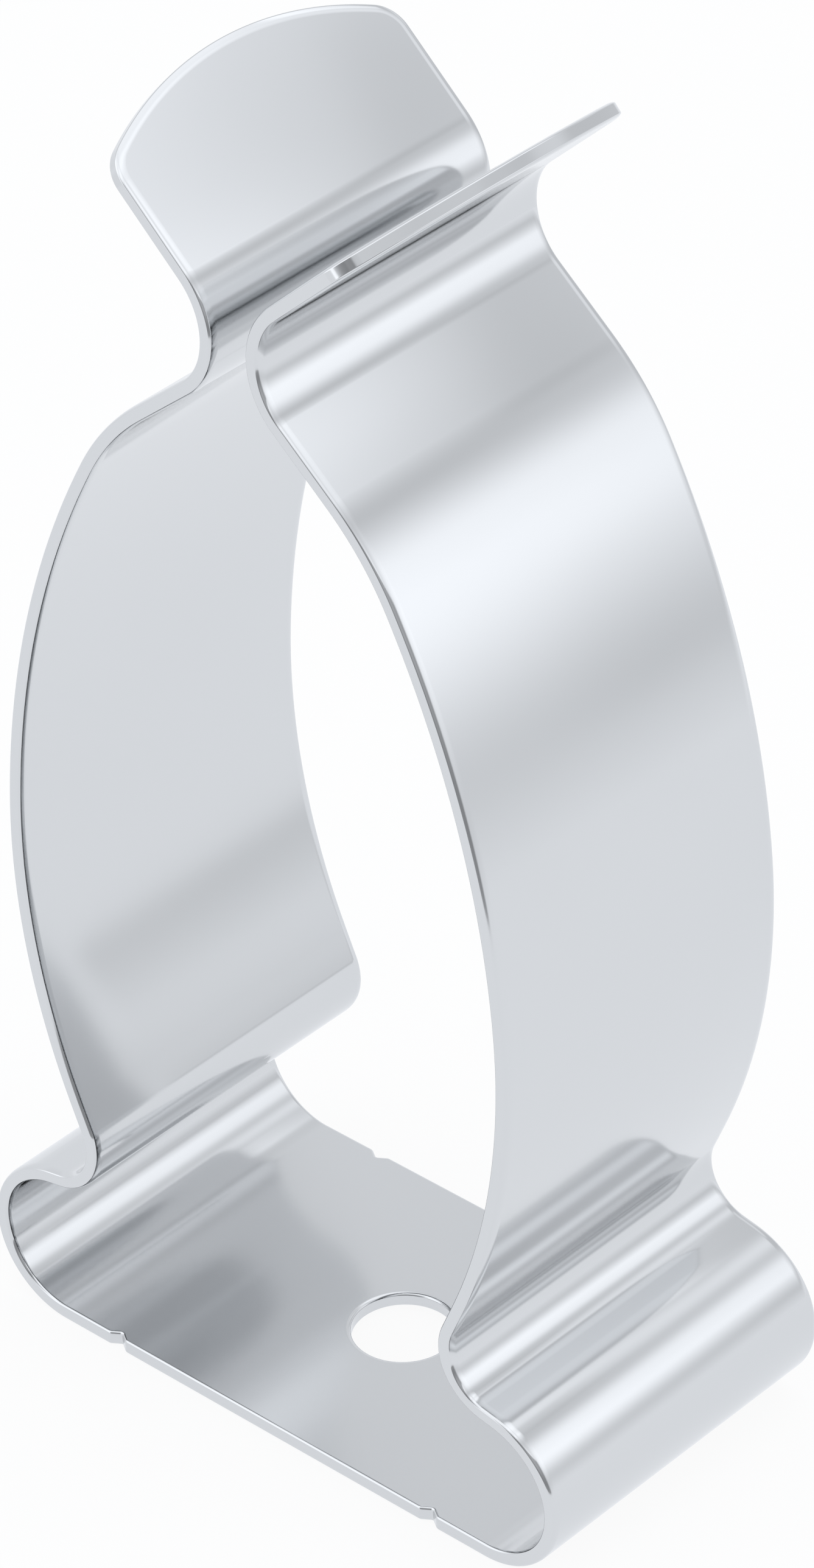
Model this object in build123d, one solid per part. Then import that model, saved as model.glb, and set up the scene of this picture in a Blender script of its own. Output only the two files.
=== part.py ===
from build123d import *
import os
from math import cos, radians, sin, sqrt

# Sheet and strip
SHEET = 0.65
STRIP_WIDTH = 16.0
TOP_WIDTH = 15.4
EDGE_BREAK = 0.08

# Base
HOLE_DIAMETER = 4.3
NOTCH_WIDTH = 0.9
NOTCH_DEPTH = 0.3
NOTCH_TO_BEND = 3.0

# Bends, each with the radius of the sheet's outer side and the angle it ends at
CURL_RADIUS = 3.69
CURL_END_ANGLE = 141.1
CURL_LIP_RADIUS = 4.0
CURL_LIP_END_ANGLE = 169.4
NECK_RADIUS = 2.0
NECK_END_ANGLE = 66.6
LOWER_ARM_RADIUS = 30.4
LOWER_ARM_END_ANGLE = 93.9
UPPER_ARM_RADIUS = 42.1
UPPER_ARM_END_ANGLE = 118.4
SHOULDER_RADIUS = 12.1
SHOULDER_END_ANGLE = 140.1
PINCH_RADIUS = 2.88
TAB_SLOPE = 42.6

# Straight runs
BEFORE_NECK = 0.61
AFTER_NECK = 1.37
BEFORE_PINCH = 3.37
TAB_LENGTH = 6.9

# Mouth and tab ends
PINCH_GAP = 1.64
CROWN_RADIUS = 15.0
CORNER_RADIUS = 1.5

# Extra depth of a cutting tool past the sheet
CUT_OVER = 1.0


def bends():
    """Segments after the base: (length, None) for a straight run, (radius, end direction) for a bend."""
    return [
        (CURL_RADIUS, CURL_END_ANGLE),
        (CURL_LIP_RADIUS, CURL_LIP_END_ANGLE),
        (BEFORE_NECK, None),
        (NECK_RADIUS, NECK_END_ANGLE),
        (AFTER_NECK, None),
        (LOWER_ARM_RADIUS, LOWER_ARM_END_ANGLE),
        (UPPER_ARM_RADIUS, UPPER_ARM_END_ANGLE),
        (SHOULDER_RADIUS, SHOULDER_END_ANGLE),
        (BEFORE_PINCH, None),
        (PINCH_RADIUS, TAB_SLOPE),
    ]


def run_to_pinch():
    """Distance along X from the end of the base to the narrowest place of the mouth."""
    x = 0.0
    direction = 0.0
    for size, end in bends():
        if end is None:
            x += size * cos(radians(direction))
            continue
        end = 90.0 if end == TAB_SLOPE else end
        turn = 1 if end > direction else -1
        x += turn * size * (sin(radians(end)) - sin(radians(direction)))
        direction = end
    return x


def half_base():
    """Half length of the flat base, so that the arms leave the named gap between them."""
    return PINCH_GAP / 2 + SHEET - run_to_pinch()


def half_side(offset):
    """Edges of the right half of one side of the sheet, offset to the left of the outer side."""
    edges = [Line((0, offset), (half_base(), offset))]
    direction = 0.0
    for size, end in bends():
        start = edges[-1] @ 1
        tangent = (cos(radians(direction)), sin(radians(direction)))
        if end is None:
            edges.append(Line(start, start + Vector(*tangent) * size))
            continue
        turn = end - direction
        radius = size - offset if turn > 0 else size + offset
        edges.append(JernArc(start, tangent, radius, turn))
        direction = end
    start = edges[-1] @ 1
    tangent = Vector(cos(radians(TAB_SLOPE)), sin(radians(TAB_SLOPE)))
    edges.append(Line(start, start + tangent * TAB_LENGTH))
    return edges


def tab_plane():
    """Plane of the right tab's outer side: X along the tab, Z through the sheet, origin at its bend."""
    start = half_side(0)[-1] @ 0
    along = (cos(radians(TAB_SLOPE)), 0, sin(radians(TAB_SLOPE)))
    through = (-sin(radians(TAB_SLOPE)), 0, cos(radians(TAB_SLOPE)))
    return Plane(origin=(start.X, 0, start.Y), x_dir=along, z_dir=through)


def folded_half():
    """Right half of the folded strip at full width."""
    outer = half_side(0)
    inner = half_side(SHEET)
    tip = Line(outer[-1] @ 1, inner[-1] @ 1)
    middle = Line(inner[0] @ 0, outer[0] @ 0)
    profile = Plane.XZ * make_face(Wire(outer + inner + [tip, middle]))
    return extrude(profile, amount=STRIP_WIDTH / 2, both=True)


def taper_block(top):
    """Block that narrows evenly from the base to the tips."""
    low = STRIP_WIDTH / 2
    high = TOP_WIDTH / 2
    sides = Polyline((-low, 0), (low, 0), (high, top), (-high, top), close=True)
    return extrude(Plane.YZ * make_face(sides), amount=top, both=True)


def crown_cutter():
    """What is cut off the right tab to leave its end as a shallow arc."""
    sagitta = CROWN_RADIUS - sqrt(CROWN_RADIUS**2 - (STRIP_WIDTH / 2) ** 2)
    length = 1.5 * sagitta + CUT_OVER
    height = SHEET + 2 * CUT_OVER
    block = Pos(TAB_LENGTH + CUT_OVER - length / 2, 0, SHEET / 2) * Box(length, 2 * STRIP_WIDTH, height)
    disc = Pos(TAB_LENGTH - CROWN_RADIUS, 0, SHEET / 2) * Cylinder(CROWN_RADIUS, height)
    return tab_plane() * (block - disc)


def strip():
    """Folded strip with its taper, arc ends and rounded tab corners."""
    half = folded_half() - crown_cutter()
    half = half & taper_block(half.bounding_box().max.Z)
    frame = tab_plane()
    ends = [e for e in half.edges() if is_corner(frame.to_local_coords(e))]
    half = fillet(ends, CORNER_RADIUS)
    return half + mirror(half, about=Plane.YZ)


def is_corner(edge):
    """True for the short edge through the sheet at a corner of the tab, given in the tab's frame."""
    size = edge.bounding_box().size
    middle = edge.center()
    return abs(size.Z - SHEET) < 0.01 and size.X < 0.1 and middle.X > 0 and abs(middle.Y) > TOP_WIDTH / 4


def notches():
    """V-shaped relief cuts in both edges of the strip, just before the curls."""
    x = half_base() - NOTCH_TO_BEND
    deep = NOTCH_DEPTH + CUT_OVER
    wide = NOTCH_WIDTH / 2 * deep / NOTCH_DEPTH
    outline = Polyline((-wide, CUT_OVER), (wide, CUT_OVER), (0, -NOTCH_DEPTH), close=True)
    cut = extrude(make_face(outline), amount=SHEET + CUT_OVER, both=True)
    back = [Pos(side * x, STRIP_WIDTH / 2, 0) * cut for side in (-1, 1)]
    return back + [mirror(one, about=Plane.XZ) for one in back]


def rim_edges(part):
    """Outline edges of the sheet and of its hole: all but the folds' seams and the edges through the sheet."""
    found = []
    for edge in part.edges():
        size = edge.bounding_box().size
        seam = size.Y > TOP_WIDTH - 1 and size.X < 0.01 and size.Z < 0.01
        if not seam and edge.length > 1.2 * SHEET:
            found.append(edge)
    return found


def shield_clamp():
    """The whole clamp."""
    part = strip() - Cylinder(HOLE_DIAMETER / 2, 4 * SHEET)
    part = chamfer(rim_edges(part), EDGE_BREAK)
    for cut in notches():
        part = part - cut
    return part


os.makedirs("parts", exist_ok=True)
clamp = shield_clamp()
export_step(clamp, "parts/shield_clamp.step")
box = clamp.bounding_box()
print("half base", round(half_base(), 3))
print("low", tuple(box.min), "high", tuple(box.max), "volume", round(clamp.volume, 2))
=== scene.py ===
import math

import bmesh
import bpy
import numpy as np
from mathutils import Matrix, Vector


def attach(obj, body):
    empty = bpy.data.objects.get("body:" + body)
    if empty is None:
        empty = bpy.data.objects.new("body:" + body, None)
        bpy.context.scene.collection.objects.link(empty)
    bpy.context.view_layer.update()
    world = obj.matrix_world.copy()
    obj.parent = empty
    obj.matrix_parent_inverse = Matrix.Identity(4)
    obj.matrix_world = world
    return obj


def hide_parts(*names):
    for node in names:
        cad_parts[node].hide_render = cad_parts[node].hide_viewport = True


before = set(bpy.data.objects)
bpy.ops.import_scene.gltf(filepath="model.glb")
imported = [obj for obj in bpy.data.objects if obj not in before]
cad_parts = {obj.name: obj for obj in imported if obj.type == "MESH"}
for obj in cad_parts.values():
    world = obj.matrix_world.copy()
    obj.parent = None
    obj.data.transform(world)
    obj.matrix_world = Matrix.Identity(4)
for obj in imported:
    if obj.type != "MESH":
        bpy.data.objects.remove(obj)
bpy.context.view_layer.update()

MM = 0.001

# Sheet and outline, in millimetres, as in the CAD part; a hair narrower, to stay inside its box
SHEET = 0.65
HALF_WIDTH = 7.9995
TOP_HALF_WIDTH = 7.7
TOP_HEIGHT = 57.979
HOLE_RADIUS = 2.15
CROWN_RADIUS = 15.0
CORNER_RADIUS = 1.5
NOTCH_FROM_BEND = 3.0
NOTCH_HALF_WIDTH = 0.45
NOTCH_DEPTH = 0.3

# Rounds of the notches, and what the strip is wider by at the tab's corners than at its top
NOTCH_MOUTH_RADIUS = 0.3
NOTCH_ROOT_RADIUS = 0.15
CORNER_WIDENING = 0.012

# Rolled edge: its reach along the sheet and through it in millimetres, the share of the first
# along the base and round the hole, and the steps over it
EDGE_ROLL = 0.4
EDGE_DROP = 0.13
BASE_ROLL = 0.35
HOLE_ROLL = 0.5
EDGE_STEPS = [math.radians(a) for a in (0, 10, 22, 34, 46, 58, 70, 80, 90)]

# Half length of the patch of base that carries the hole
PATCH = 4.0

# Steps over each round of the outline
NOTCH_STEPS = 6
CORNER_STEPS = 12
CROWN_STEPS = 40
HOLE_STEPS = 96

# Right half of the profile from the middle of the base: straight runs (length,)
# and bends (radius of the outer side, turn in degrees), with the step along each
PROFILE = [
    ((11.492,), 4.0),
    ((3.69, 141.1), 0.14),
    ((4.0, 28.3), 0.16),
    ((0.61,), 0.61),
    ((2.0, -102.8), 0.08),
    ((1.37,), 1.37),
    ((30.4, 27.3), 0.7),
    ((42.1, 24.5), 0.8),
    ((12.1, 21.7), 0.3),
    ((3.37,), 3.37),
    ((2.88, -97.5), 0.11),
    ((6.9,), 1.0),
]


def segments():
    """Each segment as (start s, length, x, z, heading, radius or None, sign of the turn)."""
    found = []
    s, x, z, heading = 0.0, 0.0, 0.0, 0.0
    for size, _ in PROFILE:
        if len(size) == 1:
            found.append((s, size[0], x, z, heading, None, 0))
            x += size[0] * math.cos(heading)
            z += size[0] * math.sin(heading)
            s += size[0]
            continue
        radius = size[0]
        turn = math.radians(size[1])
        sign = 1 if turn > 0 else -1
        found.append((s, radius * abs(turn), x, z, heading, radius, sign))
        x += sign * radius * (math.sin(heading + turn) - math.sin(heading))
        z -= sign * radius * (math.cos(heading + turn) - math.cos(heading))
        heading += turn
        s += radius * abs(turn)
    return found


SEGMENTS = segments()
LENGTH = SEGMENTS[-1][0] + SEGMENTS[-1][1]


def on_profile(s):
    """Place and heading of the outer side at arc length s of the right half."""
    found = SEGMENTS[0]
    for one in SEGMENTS:
        if s >= one[0]:
            found = one
    start, _, x, z, heading, radius, sign = found
    along = s - start
    if radius is None:
        return x + along * math.cos(heading), z + along * math.sin(heading), heading
    turned = heading + sign * along / radius
    x += sign * radius * (math.sin(turned) - math.sin(heading))
    z -= sign * radius * (math.cos(turned) - math.cos(heading))
    return x, z, turned


def half_width(s):
    """Half the width of the strip at arc length s."""
    return HALF_WIDTH + (TOP_HALF_WIDTH - HALF_WIDTH) * on_profile(s)[1] / TOP_HEIGHT


def rounded_notch():
    """Notch in the long edge, as (s, y from the edge, its normal along s and y)."""
    middle = SEGMENTS[0][1] - NOTCH_FROM_BEND
    slope = math.atan2(NOTCH_DEPTH, NOTCH_HALF_WIDTH)
    cut = NOTCH_MOUTH_RADIUS * math.tan(slope / 2)
    points = []
    for k in range(NOTCH_STEPS + 1):
        a = slope * k / NOTCH_STEPS
        s = middle - NOTCH_HALF_WIDTH - cut + NOTCH_MOUTH_RADIUS * math.sin(a)
        y = NOTCH_MOUTH_RADIUS * (math.cos(a) - 1)
        points.append((s, y, math.sin(a), math.cos(a)))
    root = -NOTCH_DEPTH + NOTCH_ROOT_RADIUS / math.cos(slope)
    for k in range(NOTCH_STEPS + 1):
        a = slope * (1 - k / NOTCH_STEPS)
        s = middle - NOTCH_ROOT_RADIUS * math.sin(a)
        points.append((s, root - NOTCH_ROOT_RADIUS * math.cos(a), math.sin(a), math.cos(a)))
    mirrored = [(2 * middle - s, y, -ns, ny) for s, y, ns, ny in reversed(points[:-1])]
    return points + mirrored


def quarter_outline():
    """Flat outline for s > 0, y > 0, as (s, y, its normal along s and y, share of the roll)."""
    notch = [(s, HALF_WIDTH + y, ns, ny, BASE_ROLL) for s, y, ns, ny in rounded_notch()]
    points = [(PATCH, HALF_WIDTH, 0.0, 1.0, BASE_ROLL)] + notch
    inner = TOP_HALF_WIDTH + CORNER_WIDENING - CORNER_RADIUS
    crown_middle = LENGTH - CROWN_RADIUS
    corner_s = crown_middle + math.sqrt((CROWN_RADIUS - CORNER_RADIUS) ** 2 - inner**2)
    curl_start, curl_length = SEGMENTS[1][:2]
    for (_, step), (start, length, *_) in zip(PROFILE, SEGMENTS):
        count = max(1, math.ceil(length / step))
        for k in range(count):
            s = start + length * k / count
            if curl_start <= s < corner_s:
                growth = (1 - BASE_ROLL) * (s - curl_start) / curl_length
                points.append((s, half_width(s), 0.0, 1.0, min(1.0, BASE_ROLL + growth)))
    turn = math.asin(inner / (CROWN_RADIUS - CORNER_RADIUS))
    for k in range(CORNER_STEPS + 1):
        a = (math.pi / 2 - turn) * k / CORNER_STEPS
        s = corner_s + CORNER_RADIUS * math.sin(a)
        points.append((s, inner + CORNER_RADIUS * math.cos(a), math.sin(a), math.cos(a), 1.0))
    for k in range(1, CROWN_STEPS + 1):
        a = turn * (1 - k / CROWN_STEPS)
        s = crown_middle + CROWN_RADIUS * math.cos(a)
        points.append((s, CROWN_RADIUS * math.sin(a), math.cos(a), math.sin(a), 1.0))
    return points


def folded(s, y, through):
    """Point of the folded sheet and its two directions, along the strip and through the sheet."""
    side = -1.0 if s < 0 else 1.0
    x, z, heading = on_profile(abs(s))
    along = np.array([math.cos(heading), 0.0, side * math.sin(heading)])
    up = np.array([-side * math.sin(heading), 0.0, math.cos(heading)])
    point = np.array([side * x, y, z]) + up * through
    return point, along, up


def edge_ring(outline, points, normals):
    """Rolls the rounded edge of the sheet round a closed flat outline; returns its vertex rows."""
    rows = []
    for lower in (True, False):
        for a in EDGE_STEPS if lower else reversed(EDGE_STEPS):
            row = []
            rise = EDGE_DROP * (1 - math.cos(a))
            height = rise if lower else SHEET - rise
            for s, y, ns, ny, share in outline:
                roll = EDGE_ROLL * share
                inset = roll * (1 - math.sin(a))
                place, along, up = folded(s - inset * ns, y - inset * ny, height)
                outward = along * ns + np.array([0.0, ny, 0.0])
                facing = -up if lower else up
                row.append(len(points))
                points.append(place)
                normals.append(outward * math.sin(a) / roll + facing * math.cos(a) / EDGE_DROP)
            rows.append(row)
    return rows


def between_rows(rows):
    """Faces between each closed row of vertices and the next."""
    faces = []
    count = len(rows[0])
    for low, high in zip(rows, rows[1:]):
        for k in range(count):
            n = (k + 1) % count
            faces.append((low[k], low[n], high[n], high[k]))
    return faces


def sheet_faces(row, hole_row, quarter):
    """Faces of one side of the sheet between the edge's row and the hole's row."""
    faces = []
    last = quarter - 1
    total = len(row)
    ends = ((0, total // 2 - 1), (total // 2, total - 1))
    for first, final in ends:
        for k in range(last):
            a, b = row[first + k], row[first + k + 1]
            c, d = row[final - k - 1], row[final - k]
            if b == c:
                faces.append((a, b, d))
            else:
                faces.append((a, b, c, d))
    corners = [row[0], row[total - 1], row[total // 2], row[total // 2 - 1]]
    count = len(hole_row)
    for i, corner in enumerate(corners):
        start = count * i // 4
        for k in range(count // 4):
            faces.append((corner, hole_row[start + k], hole_row[(start + k + 1) % count]))
        end = hole_row[(start + count // 4) % count]
        faces.append((corner, end, corners[(i + 1) % 4]))
    return faces


def clamp_mesh():
    """Folded sheet with its hole, notches, crowned ends and rolled edges."""
    quarter = quarter_outline()
    front = [(s, -y, ns, -ny, share) for s, y, ns, ny, share in reversed(quarter[:-1])]
    right = quarter + front
    left = [(-s, -y, -ns, -ny, share) for s, y, ns, ny, share in right]
    outline = right + left
    hole = []
    for k in range(HOLE_STEPS):
        a = 2 * math.pi * k / HOLE_STEPS
        across, along = math.cos(a), math.sin(a)
        hole.append((HOLE_RADIUS * across, HOLE_RADIUS * along, -across, -along, HOLE_ROLL))
    points, normals = [], []
    rim = edge_ring(outline, points, normals)
    bore = edge_ring(hole, points, normals)
    faces = between_rows(rim) + between_rows(bore)
    faces += sheet_faces(rim[0], bore[0], len(quarter))
    faces += sheet_faces(rim[-1], bore[-1], len(quarter))
    mesh = bpy.data.meshes.new("shield_clamp_sheet")
    mesh.from_pydata([tuple(p * MM) for p in points], [], faces)
    work = bmesh.new()
    work.from_mesh(mesh)
    bmesh.ops.recalc_face_normals(work, faces=work.faces)
    work.to_mesh(mesh)
    work.free()
    for face in mesh.polygons:
        face.use_smooth = True
    mesh.normals_split_custom_set_from_vertices([Vector(n).normalized() for n in normals])
    return mesh


def into_scene(name, data):
    """Object of this name in the scene, with a mesh or a camera as its data."""
    made = bpy.data.objects.new(name, data)
    bpy.context.scene.collection.objects.link(made)
    return made


def node_material(name):
    material = bpy.data.materials.new(name)
    material.use_nodes = True
    return material


def grey(level):
    return (level, level, level, 1)


def connect(tree, value, socket):
    """Sets a socket to a number, or links it to another socket."""
    if isinstance(value, (int, float)):
        socket.default_value = value
    else:
        tree.links.new(value, socket)


def maths(tree, operation, first, second=0.0):
    """Result of one sum on numbers or sockets."""
    node = tree.nodes.new("ShaderNodeMath")
    node.operation = operation
    connect(tree, first, node.inputs[0])
    connect(tree, second, node.inputs[1])
    return node.outputs["Value"]


def blend_shaders(tree, share, first, second):
    """Shows the first shader where the share is 0 and the second where it is 1."""
    mix = tree.nodes.new("ShaderNodeMixShader")
    tree.links.new(share, mix.inputs["Fac"])
    tree.links.new(first, mix.inputs[1])
    tree.links.new(second, mix.inputs[2])
    tree.links.new(mix.outputs["Shader"], tree.nodes["Material Output"].inputs["Surface"])


# The flat base keeps the mill finish; the drawn arms and curls are smoother
BASE_ROUGHNESS = 0.17
BEND_ROUGHNESS = 0.12
ROUGHNESS_SPREAD = 0.15

# Faint grain of the rolled sheet: its scale per metre, its detail and its two colours
GRAIN_SCALE = 90.0
GRAIN_DETAIL = 3.0
GRAIN_DARK = (0.676, 0.684, 0.692, 1)
GRAIN_LIGHT = (0.694, 0.702, 0.710, 1)


def steel():
    """Bright rolled spring steel with a very faint grain."""
    material = node_material("spring_steel")
    tree = material.node_tree
    nodes, links = tree.nodes, tree.links
    shader = nodes["Principled BSDF"]
    shader.inputs["Metallic"].default_value = 1.0
    place = nodes.new("ShaderNodeTexCoord")
    cloud = nodes.new("ShaderNodeTexNoise")
    cloud.inputs["Scale"].default_value = GRAIN_SCALE
    cloud.inputs["Detail"].default_value = GRAIN_DETAIL
    links.new(place.outputs["Object"], cloud.inputs["Vector"])
    colour = nodes.new("ShaderNodeMix")
    colour.data_type = "RGBA"
    colour.inputs["A"].default_value = GRAIN_DARK
    colour.inputs["B"].default_value = GRAIN_LIGHT
    links.new(cloud.outputs["Fac"], colour.inputs["Factor"])
    links.new(colour.outputs["Result"], shader.inputs["Base Color"])
    height = nodes.new("ShaderNodeSeparateXYZ")
    links.new(place.outputs["Object"], height.inputs["Vector"])
    drawn = nodes.new("ShaderNodeMapRange")
    drawn.interpolation_type = "SMOOTHSTEP"
    drawn.inputs["From Min"].default_value = SHEET * MM
    drawn.inputs["From Max"].default_value = 2 * SHEET * MM
    drawn.inputs["To Min"].default_value = BASE_ROUGHNESS
    drawn.inputs["To Max"].default_value = BEND_ROUGHNESS
    links.new(height.outputs["Z"], drawn.inputs["Value"])
    uneven = nodes.new("ShaderNodeMapRange")
    uneven.inputs["To Min"].default_value = 1 - ROUGHNESS_SPREAD
    uneven.inputs["To Max"].default_value = 1 + ROUGHNESS_SPREAD
    links.new(cloud.outputs["Fac"], uneven.inputs["Value"])
    rough = maths(tree, "MULTIPLY", drawn.outputs["Result"], uneven.outputs["Result"])
    links.new(rough, shader.inputs["Roughness"])
    return material


# Slightly cool light of the studio, and plain white
COOL = (0.972, 0.995, 1.033, 1)
WHITE = (1, 1, 1, 1)

# Floor: half its size in metres, its colour and its roughness
FLOOR_HALF_SIZE = 0.9
FLOOR_LEVEL = 0.95
FLOOR_ROUGHNESS = 0.9

# Share of the floor's own glow; the rest is lit, so that the clamp's shadow stays on it
FLOOR_GLOW = 0.9


def floor_material():
    """Pale floor that the camera and the gloss see as white, but for the clamp's shadow."""
    material = node_material("pale_floor")
    tree = material.node_tree
    shader = tree.nodes["Principled BSDF"]
    shader.inputs["Base Color"].default_value = grey(FLOOR_LEVEL)
    shader.inputs["Roughness"].default_value = FLOOR_ROUGHNESS
    glow = tree.nodes.new("ShaderNodeEmission")
    path = tree.nodes.new("ShaderNodeLightPath")
    tint = tree.nodes.new("ShaderNodeMix")
    tint.data_type = "RGBA"
    tree.links.new(path.outputs["Is Camera Ray"], tint.inputs["Factor"])
    tint.inputs["A"].default_value = COOL
    tint.inputs["B"].default_value = WHITE
    tree.links.new(tint.outputs["Result"], glow.inputs["Color"])
    seen = maths(tree, "MAXIMUM", path.outputs["Is Camera Ray"], path.outputs["Is Glossy Ray"])
    seen = maths(tree, "MAXIMUM", seen, path.outputs["Is Transmission Ray"])
    share = maths(tree, "MULTIPLY", seen, FLOOR_GLOW)
    blend_shaders(tree, share, shader.outputs["BSDF"], glow.outputs["Emission"])
    return material


def build_floor():
    size = FLOOR_HALF_SIZE
    corners = [(-size, -size, 0), (size, -size, 0), (size, size, 0), (-size, size, 0)]
    mesh = bpy.data.meshes.new("floor")
    mesh.from_pydata(corners, [], [(0, 1, 2, 3)])
    mesh.materials.append(floor_material())
    floor = into_scene("floor", mesh)


# Light tent round the clamp: its middle above the floor and its radius, in millimetres
TENT_HEIGHT = 28.0
TENT_RADIUS = 119.1

# Brightness of the tent's cloth round the Y axis: angle from +X towards +Z in degrees, level
CLOTH = [
    (-180, 0.945),
    (-60, 1.0),
    (-20, 1.05),
    (-5, 0.842),
    (45, 0.717),
    (117, 0.758),
    (150, 0.892),
    (165, 0.964),
    (180, 0.945),
]

# Soft boxes on the cloth, in front and behind alike: angle round Y and from Y, half sizes,
# soft borders, all in degrees, and the brightness they add or take away
SOFT_BOXES = [
    (26.6, 63.6, 17.9, 24.5, 12.2, 36.5, 0.72),
    (4.6, 46.8, 10.3, 7.8, 3.4, 1.3, -0.06),
    (49.4, 60.5, 24.2, 9.6, 21.8, 2.9, -0.07),
    (66.3, 74.9, 10.2, 16.8, 5.9, 8.3, 0.52),
    (68.1, 46.8, 11.9, 8.2, 13.2, 3.9, 0.34),
    (96.8, 73.1, 23.0, 19.9, 6.8, 9.2, 0.53),
    (100.1, 50.8, 14.9, 5.0, 4.1, 0.5, 0.40),
    (62.8, 53.9, 7.0, 2.1, 2.9, 0.5, -0.20),
    (151.6, 57.2, 5.1, 7.1, 4.9, 0.4, -0.09),
    (99.6, 32.4, 20.4, 3.3, 5.3, 5.9, 0.30),
    (62.8, 70.0, 1.5, 12.5, 1.1, 2.0, 0.21),
]

# Gap in the cloth towards the dim room in front on the right, on a tent of radius 1: where it
# ends in Y, with half its soft border; the height from which that end slants to the front, and
# its slant; its middle round Y, its half size and half border in degrees; and the share of light
# that it takes away in gloss
GAP_Y = (0.04, 0.1)
GAP_TOP = 0.42
GAP_SLANT = 2.5
GAP_MIDDLE = 10.0
GAP_TURN = (65.0, 25.0)
GAP_DEPTH = 0.62

# Soft box in front on the left, in the same terms, and the brightness it adds in gloss
FILL_Y = (-0.3, 0.12)
FILL_MIDDLE = 140.0
FILL_TURN = (30.0, 12.0)
FILL_LEVEL = 0.55


def soft_step(tree, distance, half, border):
    """One inside a strip of this half size, falling softly to nothing across its border."""
    node = tree.nodes.new("ShaderNodeMapRange")
    node.interpolation_type = "SMOOTHSTEP"
    node.inputs["From Min"].default_value = half + border
    node.inputs["From Max"].default_value = half - border
    tree.links.new(distance, node.inputs["Value"])
    return node.outputs["Result"]


def away_from(tree, value, middle):
    """Distance of a value from a middle."""
    return maths(tree, "ABSOLUTE", maths(tree, "SUBTRACT", value, middle))


def grey_ramp(tree, place, stops):
    """Grey level along a value from 0 to 1, from (position, level) stops."""
    ramp = tree.nodes.new("ShaderNodeValToRGB")
    elements = ramp.color_ramp.elements
    while len(elements) > 1:
        elements.remove(elements[0])
    for k, (position, level) in enumerate(stops):
        element = elements[0] if k == 0 else elements.new(position)
        element.position = position
        element.color = grey(level)
    tree.links.new(place, ramp.inputs["Fac"])
    return ramp.outputs["Color"]


def cloth_level(tree, round_y, from_y):
    """Brightness of the cloth and its soft boxes."""
    turn = maths(tree, "DIVIDE", maths(tree, "ADD", round_y, 180.0), 360.0)
    level = grey_ramp(tree, turn, [((angle + 180) / 360, bright) for angle, bright in CLOTH])
    for turned, leaned, half_turned, half_leaned, soft_turned, soft_leaned, bright in SOFT_BOXES:
        across = soft_step(tree, away_from(tree, round_y, turned), half_turned, soft_turned)
        along = soft_step(tree, away_from(tree, from_y, leaned), half_leaned, soft_leaned)
        inside = maths(tree, "MULTIPLY", across, along)
        level = maths(tree, "ADD", level, maths(tree, "MULTIPLY", inside, bright))
    return level


def gap_share(tree, y, z, round_y):
    """One inside the gap in the cloth, and nothing outside."""
    above = maths(tree, "MAXIMUM", maths(tree, "SUBTRACT", z, GAP_TOP), 0.0)
    slanted = maths(tree, "ADD", y, maths(tree, "MULTIPLY", above, GAP_SLANT))
    across = soft_step(tree, slanted, *GAP_Y)
    along = soft_step(tree, away_from(tree, round_y, GAP_MIDDLE), *GAP_TURN)
    return maths(tree, "MULTIPLY", across, along)


def fill_share(tree, y, round_y):
    """One inside the soft box in front on the left, and nothing outside."""
    across = soft_step(tree, y, *FILL_Y)
    along = soft_step(tree, away_from(tree, round_y, FILL_MIDDLE), *FILL_TURN)
    return maths(tree, "MULTIPLY", across, along)


def tent_material():
    """Cloth that glows inwards and lets the camera look through."""
    material = node_material("tent_cloth")
    material.cycles.emission_sampling = "NONE"
    tree = material.node_tree
    nodes, links = tree.nodes, tree.links
    nodes.remove(nodes["Principled BSDF"])
    place = nodes.new("ShaderNodeTexCoord")
    unit = nodes.new("ShaderNodeVectorMath")
    unit.operation = "NORMALIZE"
    links.new(place.outputs["Object"], unit.inputs[0])
    parts = nodes.new("ShaderNodeSeparateXYZ")
    links.new(unit.outputs["Vector"], parts.inputs["Vector"])
    x, y, z = (parts.outputs[axis] for axis in "XYZ")
    round_y = maths(tree, "DEGREES", maths(tree, "ARCTAN2", z, x))
    from_y = maths(tree, "DEGREES", maths(tree, "ARCCOSINE", maths(tree, "ABSOLUTE", y)))
    path = nodes.new("ShaderNodeLightPath")
    gloss = path.outputs["Is Glossy Ray"]
    gap = maths(tree, "MULTIPLY", gap_share(tree, y, z, round_y), GAP_DEPTH)
    left = maths(tree, "SUBTRACT", 1.0, maths(tree, "MULTIPLY", gap, gloss))
    fill = maths(tree, "MULTIPLY", fill_share(tree, y, round_y), FILL_LEVEL)
    added = maths(tree, "MULTIPLY", fill, gloss)
    level = maths(tree, "MULTIPLY", cloth_level(tree, round_y, from_y), left)
    level = maths(tree, "ADD", level, added)
    glow = nodes.new("ShaderNodeEmission")
    glow.inputs["Color"].default_value = COOL
    links.new(level, glow.inputs["Strength"])
    clear = nodes.new("ShaderNodeBsdfTransparent")
    side = nodes.new("ShaderNodeNewGeometry")
    through = maths(tree, "MAXIMUM", path.outputs["Is Camera Ray"], side.outputs["Backfacing"])
    blend_shaders(tree, through, glow.outputs["Emission"], clear.outputs["BSDF"])
    return material


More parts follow.
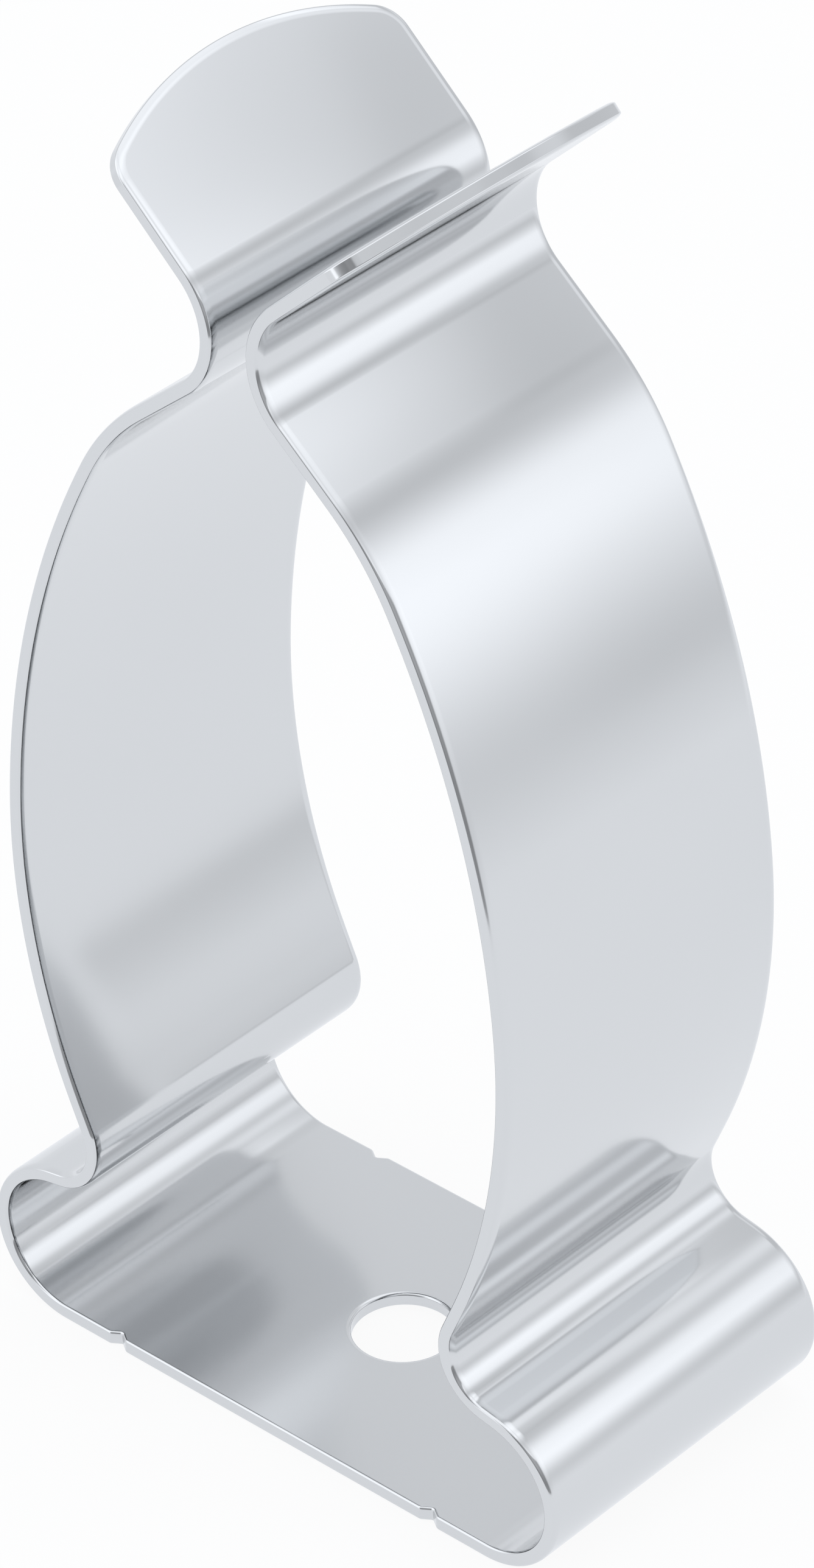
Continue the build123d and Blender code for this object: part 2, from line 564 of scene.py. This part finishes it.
def build_tent():
    mesh = bpy.data.meshes.new("light_tent")
    work = bmesh.new()
    bmesh.ops.create_icosphere(work, subdivisions=5, radius=TENT_RADIUS * MM)
    bmesh.ops.reverse_faces(work, faces=work.faces)
    work.to_mesh(mesh)
    work.free()
    mesh.materials.append(tent_material())
    tent = into_scene("light_tent", mesh)
    tent.location = (0, 0, TENT_HEIGHT * MM)


# Painted shade: a dim glowing sheet beside the right arm that only gloss sees, darkening the
# reflection on the left arm's inside: place, reach along Y, heights and the depth of its fading
# top in millimetres, and its level
PAINTED_SHADE_X = 11.0
PAINTED_SHADE_Y = (10.4, 31.0)
PAINTED_SHADE_Z = (8.6, 11.4)
PAINTED_SHADE_FADE = 2.2
PAINTED_SHADE_LEVEL = 0.72


def painted_shade_material():
    """Painted shade that shows in gloss only, as a dim glow fading out towards its top."""
    material = node_material("painted_shade_card")
    material.cycles.emission_sampling = "NONE"
    tree = material.node_tree
    nodes, links = tree.nodes, tree.links
    nodes.remove(nodes["Principled BSDF"])
    place = nodes.new("ShaderNodeTexCoord")
    parts = nodes.new("ShaderNodeSeparateXYZ")
    links.new(place.outputs["Object"], parts.inputs["Vector"])
    fade = nodes.new("ShaderNodeMapRange")
    fade.inputs["From Min"].default_value = PAINTED_SHADE_Z[1] * MM
    fade.inputs["From Max"].default_value = (PAINTED_SHADE_Z[1] - PAINTED_SHADE_FADE) * MM
    links.new(parts.outputs["Z"], fade.inputs["Value"])
    path = nodes.new("ShaderNodeLightPath")
    side = nodes.new("ShaderNodeNewGeometry")
    front = maths(tree, "SUBTRACT", path.outputs["Is Glossy Ray"], side.outputs["Backfacing"])
    share = maths(tree, "MULTIPLY", maths(tree, "MAXIMUM", front, 0.0), fade.outputs["Result"])
    # Painted shade: a dim glow that darkens the reflection on the left arm's inside
    glow = nodes.new("ShaderNodeEmission")
    glow.inputs["Color"].default_value = COOL
    glow.inputs["Strength"].default_value = PAINTED_SHADE_LEVEL
    clear = nodes.new("ShaderNodeBsdfTransparent")
    blend_shaders(tree, share, clear.outputs["BSDF"], glow.outputs["Emission"])
    return material


def build_painted_shade():
    near, far = PAINTED_SHADE_Y
    low, high = PAINTED_SHADE_Z
    corners = [(PAINTED_SHADE_X, near, low), (PAINTED_SHADE_X, far, low), (PAINTED_SHADE_X, far, high), (PAINTED_SHADE_X, near, high)]
    mesh = bpy.data.meshes.new("painted_shade_card")
    mesh.from_pydata([tuple(Vector(c) * MM) for c in corners], [], [(0, 3, 2, 1)])
    mesh.materials.append(painted_shade_material())
    shade_quad = into_scene("painted_shade_card", mesh)


# Level of the world outside the tent
STUDIO_LEVEL = 0.9


def studio():
    """Plain world outside the tent, white where the camera sees it."""
    world = bpy.data.worlds.new("studio")
    bpy.context.scene.world = world
    world.use_nodes = True
    tree = world.node_tree
    shown = tree.nodes.new("ShaderNodeMix")
    shown.data_type = "RGBA"
    path = tree.nodes.new("ShaderNodeLightPath")
    tree.links.new(path.outputs["Is Camera Ray"], shown.inputs["Factor"])
    shown.inputs["A"].default_value = grey(STUDIO_LEVEL)
    shown.inputs["B"].default_value = WHITE
    background = tree.nodes["Background"]
    tree.links.new(shown.outputs["Result"], background.inputs["Color"])
    background.inputs["Strength"].default_value = 1.0


# Camera: turn about Z, height angle and roll in degrees; distance and offsets across its view in
# millimetres; lens and sensor in millimetres; shift in shares of the sensor; clip in metres
CAMERA_TURN = 42.833
CAMERA_HEIGHT = 34.742
CAMERA_ROLL = -1.606
CAMERA_DISTANCE = 298.70
CAMERA_SIDE = 0.608
CAMERA_DROP = 22.672
CAMERA_LENS = 168.14
CAMERA_SENSOR = 36.0
CAMERA_SHIFT = (-0.00753, -0.00035)
CAMERA_CLIP = (0.01, 10.0)


def build_camera():
    turn = math.radians(CAMERA_TURN)
    height = math.radians(CAMERA_HEIGHT)
    roll = math.radians(CAMERA_ROLL)
    flat = math.cos(height)
    back = Vector((math.sin(turn) * flat, -math.cos(turn) * flat, math.sin(height)))
    level = Vector((math.cos(turn), math.sin(turn), 0))
    upright = back.cross(level)
    right = math.cos(roll) * level + math.sin(roll) * upright
    up = math.cos(roll) * upright - math.sin(roll) * level
    place = (back * CAMERA_DISTANCE + right * CAMERA_SIDE + up * CAMERA_DROP) * MM
    data = bpy.data.cameras.new("camera")
    data.lens = CAMERA_LENS
    data.sensor_width = CAMERA_SENSOR
    data.sensor_fit = "AUTO"
    data.shift_x, data.shift_y = CAMERA_SHIFT
    data.clip_start, data.clip_end = CAMERA_CLIP
    camera = into_scene("camera", data)
    turned = Matrix((right, up, back)).transposed().to_4x4()
    turned.translation = place
    camera.matrix_world = turned
    bpy.context.scene.camera = camera


clamp = into_scene("folded_strip", clamp_mesh())
clamp.data.materials.append(steel())
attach(clamp, "root")
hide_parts("shield_clamp")
build_floor()
build_tent()
# Painted shade, seen only in the reflection on the left arm's inside
build_painted_shade()
studio()
build_camera()

view = bpy.context.scene.view_settings
view.view_transform = "Standard"
